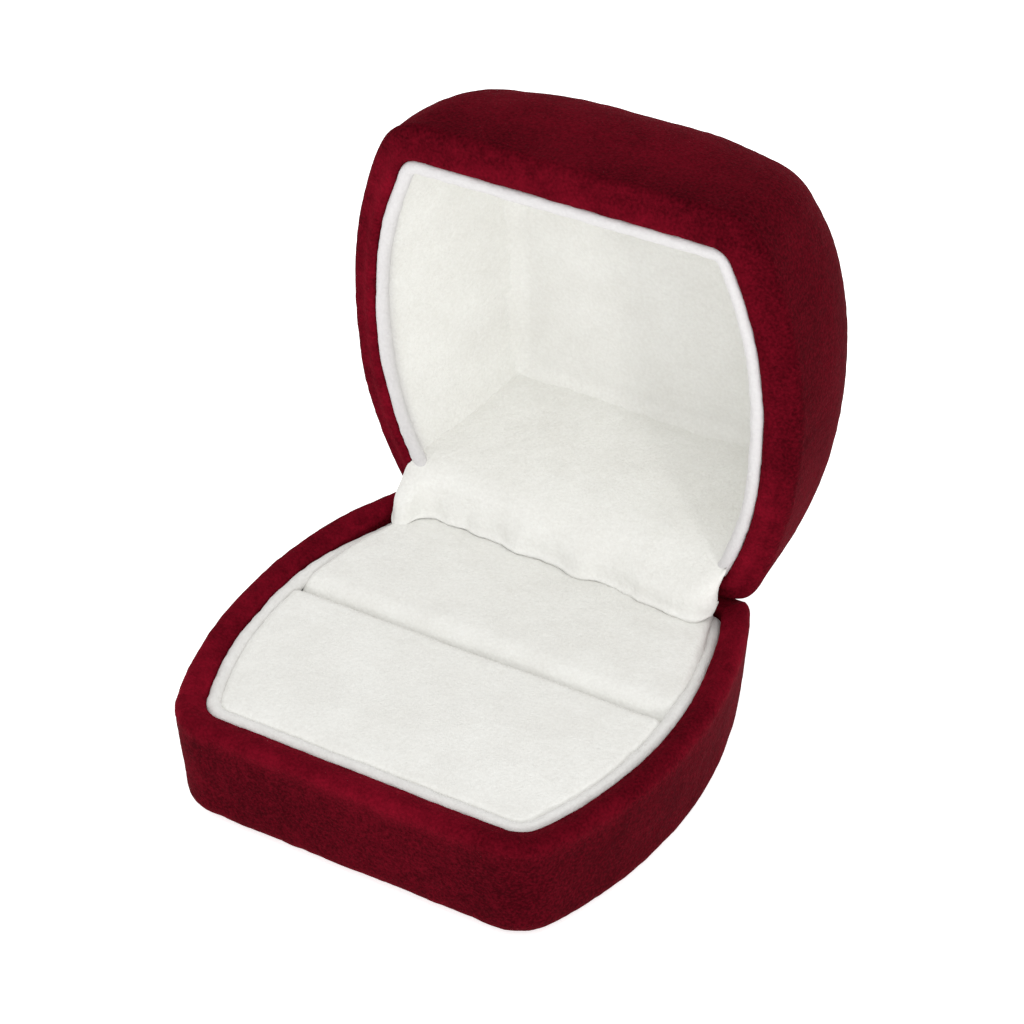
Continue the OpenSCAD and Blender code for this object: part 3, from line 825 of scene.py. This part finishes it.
# The front pad runs forward to the lining; the rear pad's big front roll leans over the slot
PADS = {
    "front": {"y_front": -30, "y_back": SLOT_FRONT + 0.6, "front_roll": 0.9, "back_roll": 1.4, "crown": 0.3},
    "rear": {"y_front": SLOT_BACK - 3.8, "y_back": REAR_PAD_BACK, "front_roll": 3.9, "back_roll": 0.6,
             "crown": 0.2},
}
for side, sizes in PADS.items():
    cover = cushion(f"{side}_cushion", shrink=0.0, **sizes)
    roughen(cover, [(9.0, 0.16, 51), (3.0, 0.06, 52), (0.8, 0.04, 53)])
    give(cover, WHITE, "base")
    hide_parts(f"{side}_pad_cover")
    core = cushion(f"{side}_cushion_foam", shrink=FOAM_SHRINK, **sizes)
    give(core, FOAM, "base")
    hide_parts(f"{side}_pad_foam")


# ---------------------------------------------------------------- hinge cloth

def smooth_curve(points, count):
    """Points evenly spaced along a Catmull-Rom curve through the given ones."""
    p = np.array(points, float)
    p = np.vstack([2 * p[0] - p[1], p, 2 * p[-1] - p[-2]])
    fine = []
    for a, b, c, d in zip(p, p[1:], p[2:], p[3:]):
        slope, bend, twist = c - a, 2 * a - 5 * b + 4 * c - d, 3 * b - a - 3 * c + d
        for t in np.linspace(0, 1, 40, endpoint=False):
            fine.append(0.5 * (2 * b + slope * t + bend * t**2 + twist * t**3))
    fine = np.array([*fine, p[-2]])
    run = np.concatenate([[0], np.cumsum(np.linalg.norm(np.diff(fine, axis=0), axis=1))])
    at = np.linspace(0, run[-1], count)
    return np.stack([np.interp(at, run, fine[:, k]) for k in range(p.shape[1])], axis=1)


# The cloth's free edge, from its left end along the rear pad to its right end
CLOTH_LEFT_END = [
    (-22.9, 23.0, 15.2), (-22.9, 21.6, 14.8), (-22.4, 19.6, 14.2), (-21.4, 18.4, 13.8), (-20.3, 19.0, 14.0),
    (-19.5, 20.6, 14.3),
]
ON_PAD = 14.32
CLOTH_FRONT = [
    (-18.0, 21.7), (-15.2, 21.9), (-12.8, 21.5), (-10.7, 21.2), (-8.3, 21.2), (-5.3, 21.0), (-2.7, 21.3),
    (1.1, 20.8), (3.8, 20.2), (6.1, 20.8), (9.3, 20.1), (13.3, 19.7), (15.7, 19.3),
]
CLOTH_RIGHT_END = [
    (18.5, 19.1, 14.3), (20.0, 19.5, 14.3), (20.9, 20.8, 14.5), (20.9, 22.2, 14.9), (20.9, 23.1, 15.4),
]
CLOTH_EDGE = CLOTH_LEFT_END + [(x, y, ON_PAD) for x, y in CLOTH_FRONT] + CLOTH_RIGHT_END


def smoothed(values, reach):
    """A running mean over reach neighbours on each side."""
    padded = np.pad(values, reach, mode="edge")
    return np.convolve(padded, np.full(2 * reach + 1, 1 / (2 * reach + 1)), mode="valid")


def hinge_cloth():
    """One cloth from the lid's deep panel, over the hinge, to its free edge on the rear pad."""
    along, across = 96, 200
    edge = smooth_curve(CLOTH_EDGE, across)
    line = np.stack([edge[:, 0], np.zeros(across), np.zeros(across)], axis=1)
    middle = 1 - abs(edge[:, 0] / CLOTH_HALF).clip(0, 1) ** 6
    edge[:, 1] += middle * (0.3 * noise(line, 2.6, 61) + 0.15 * noise(line, 1.1, 62) - 0.1)
    edge[:, 2] += middle * 0.05 * noise(line, 2.0, 63)
    t = smoothed((edge[:, 0] - edge[:, 0].min()) / np.ptp(edge[:, 0]), 8)
    t = (t - t.min()) / np.ptp(t)
    rise = (2 * t - 1) ** 4

    def station(left, right, y, z):
        x = left + (right - left) * t
        return np.stack([x, np.broadcast_to(y, t.shape), np.broadcast_to(z, t.shape)], axis=1)

    lower = edge.copy()
    lower[:, 1] = smoothed(np.minimum(edge[:, 1] + 1.3, LOWER_Y_MAX), 6)
    lower[:, 2] = 16.8 + 0.7 * rise
    near = edge.copy()
    near[:, 1] = np.minimum(edge[:, 1] + 0.6, NEAR_Y_MAX)
    near[:, 2] += 0.55
    stations = [
        station(-17.3, 17.3, 42.4, 24.75),
        station(-19.7, 19.3, 34.0, 22.4),
        station(-21.4, 20.9, 27.4, 20.6 + 0.3 * rise),
        station(-22.4, 21.5, 24.0, 19.0 + 0.8 * rise),
        lower, near, edge,
    ]
    grid = np.stack([smooth_curve([s[k] for s in stations], along) for k in range(across)], axis=1)
    return make_mesh("hinge_cloth", grid.reshape(-1, 3), strip_faces(along, across, closed_columns=False))


def thicken(piece, thickness):
    """Gives a sheet its thickness and closes it."""
    solid = piece.modifiers.new("thickness", "SOLIDIFY")
    solid.thickness = thickness * MM
    solid.offset = 0
    solid.use_even_offset = False
    apply_modifiers(piece)


def apply_modifiers(piece):
    """Keeps the shape that a piece's modifiers give it, and removes them."""
    shaped = piece.evaluated_get(bpy.context.evaluated_depsgraph_get())
    mesh = bpy.data.meshes.new_from_object(shaped)
    piece.modifiers.clear()
    piece.data = mesh


cloth = hinge_cloth()
thicken(cloth, CLOTH_T)
roughen(cloth, [(7.0, 0.14, 71), (2.2, 0.06, 72), (0.8, 0.04, 73)])
give(cloth, WHITE)
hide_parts("hinge_cover", "hinge_cover_hem")
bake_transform(cloth)


# ---------------------------------------------------------------- CAD nodes that show as they are

CAD_LOOKS = {
    "base_shell": (PLASTIC, "shell_plastic"), "lid_shell": (PLASTIC, "shell_plastic"),
    "base_bottom_panel": (PAPER, "bottom_paper"), "insert_board": (CARD, "card"),
    "lid_top_board": (CARD, "card"), "lid_back_board": (CARD, "card"),
    "hinge_base_leaf": (STEEL, "hinge_steel"), "hinge_lid_leaf": (STEEL, "hinge_steel"),
    "hinge_pin": (STEEL, "hinge_steel"), "hinge_spring": (STEEL, "hinge_steel"),
    "hinge_base_rivets": (STEEL, "hinge_steel"), "hinge_lid_rivets": (STEEL, "hinge_steel"),
}
for node, (material, slot) in CAD_LOOKS.items():
    give(frame["nodes"][node], material)


# ---------------------------------------------------------------- stage, light and camera

def floor():
    """A white floor that glows a little, so that it has no edge against the background."""
    mesh = bpy.data.meshes.new("floor")
    half = 3.0
    corners = [(-half, -half, 0), (half, -half, 0), (half, half, 0), (-half, half, 0)]
    mesh.from_pydata(corners, [], [(0, 1, 2, 3)])
    piece = bpy.data.objects.new("floor", mesh)
    bpy.context.scene.collection.objects.link(piece)
    material, tree, shader = node_tree("floor_white")
    shader.inputs["Base Color"].default_value = (0.92, 0.92, 0.92, 1)
    shader.inputs["Roughness"].default_value = 0.9
    shader.inputs["Emission Color"].default_value = (1, 1, 1, 1)
    shader.inputs["Emission Strength"].default_value = 0.65
    mesh.materials.append(material)


def area_light(name, place, aim, size, power):
    """A white disk of light at a place, turned to its aim."""
    data = bpy.data.lights.new(name, "AREA")
    data.shape = "DISK"
    data.size = size
    data.energy = power
    lamp = bpy.data.objects.new(name, data)
    lamp.location = place
    lamp.rotation_mode = "QUATERNION"
    lamp.rotation_quaternion = (Vector(aim) - Vector(place)).to_track_quat("-Z", "Y")
    bpy.context.scene.collection.objects.link(lamp)


def world_light(strength):
    """Even white light from all round."""
    world = bpy.data.worlds.new("studio")
    bpy.context.scene.world = world
    world.use_nodes = True
    background = world.node_tree.nodes["Background"]
    background.inputs["Color"].default_value = (1, 1, 1, 1)
    background.inputs["Strength"].default_value = strength


def towards(azimuth, elevation):
    """The direction from the object to a light or a camera, with azimuth 0 in front."""
    a, e = math.radians(azimuth), math.radians(elevation)
    return Vector((math.sin(a) * math.cos(e), -math.cos(a) * math.cos(e), math.sin(e)))


CAMERA_AIM = Vector((0.54, 9.77, 29.38)) * MM
CAMERA_AZIMUTH, CAMERA_ELEVATION, CAMERA_ROLL = 30.34, 35.64, 0.11
CAMERA_DISTANCE, CAMERA_LENS = 352.1 * MM, 106.74


def camera():
    """A long lens from the front right, looking down."""
    data = bpy.data.cameras.new("camera")
    data.sensor_width = 36
    data.lens = CAMERA_LENS
    data.clip_start, data.clip_end = 0.01, 20
    back = towards(CAMERA_AZIMUTH, CAMERA_ELEVATION)
    made = bpy.data.objects.new("camera", data)
    made.location = CAMERA_AIM + back * CAMERA_DISTANCE
    roll = Matrix.Rotation(math.radians(-CAMERA_ROLL), 3, back)
    made.rotation_mode = "QUATERNION"
    made.rotation_quaternion = (roll @ (-back).to_track_quat("-Z", "Y").to_matrix()).to_quaternion()
    bpy.context.scene.collection.objects.link(made)
    bpy.context.scene.camera = made


LIGHT_AIM = Vector((0, 0.01, 0.03))
KEY_AZIMUTH, KEY_ELEVATION, KEY_DISTANCE = 56, 14, 0.9

floor()
world_light(0.92)
area_light("key", LIGHT_AIM + towards(KEY_AZIMUTH, KEY_ELEVATION) * KEY_DISTANCE, LIGHT_AIM, 0.12, 1.5)
area_light("front", (0.25, -0.6, 1.1), LIGHT_AIM, 0.8, 2.8)
camera()
bpy.context.scene.view_settings.view_transform = "Standard"
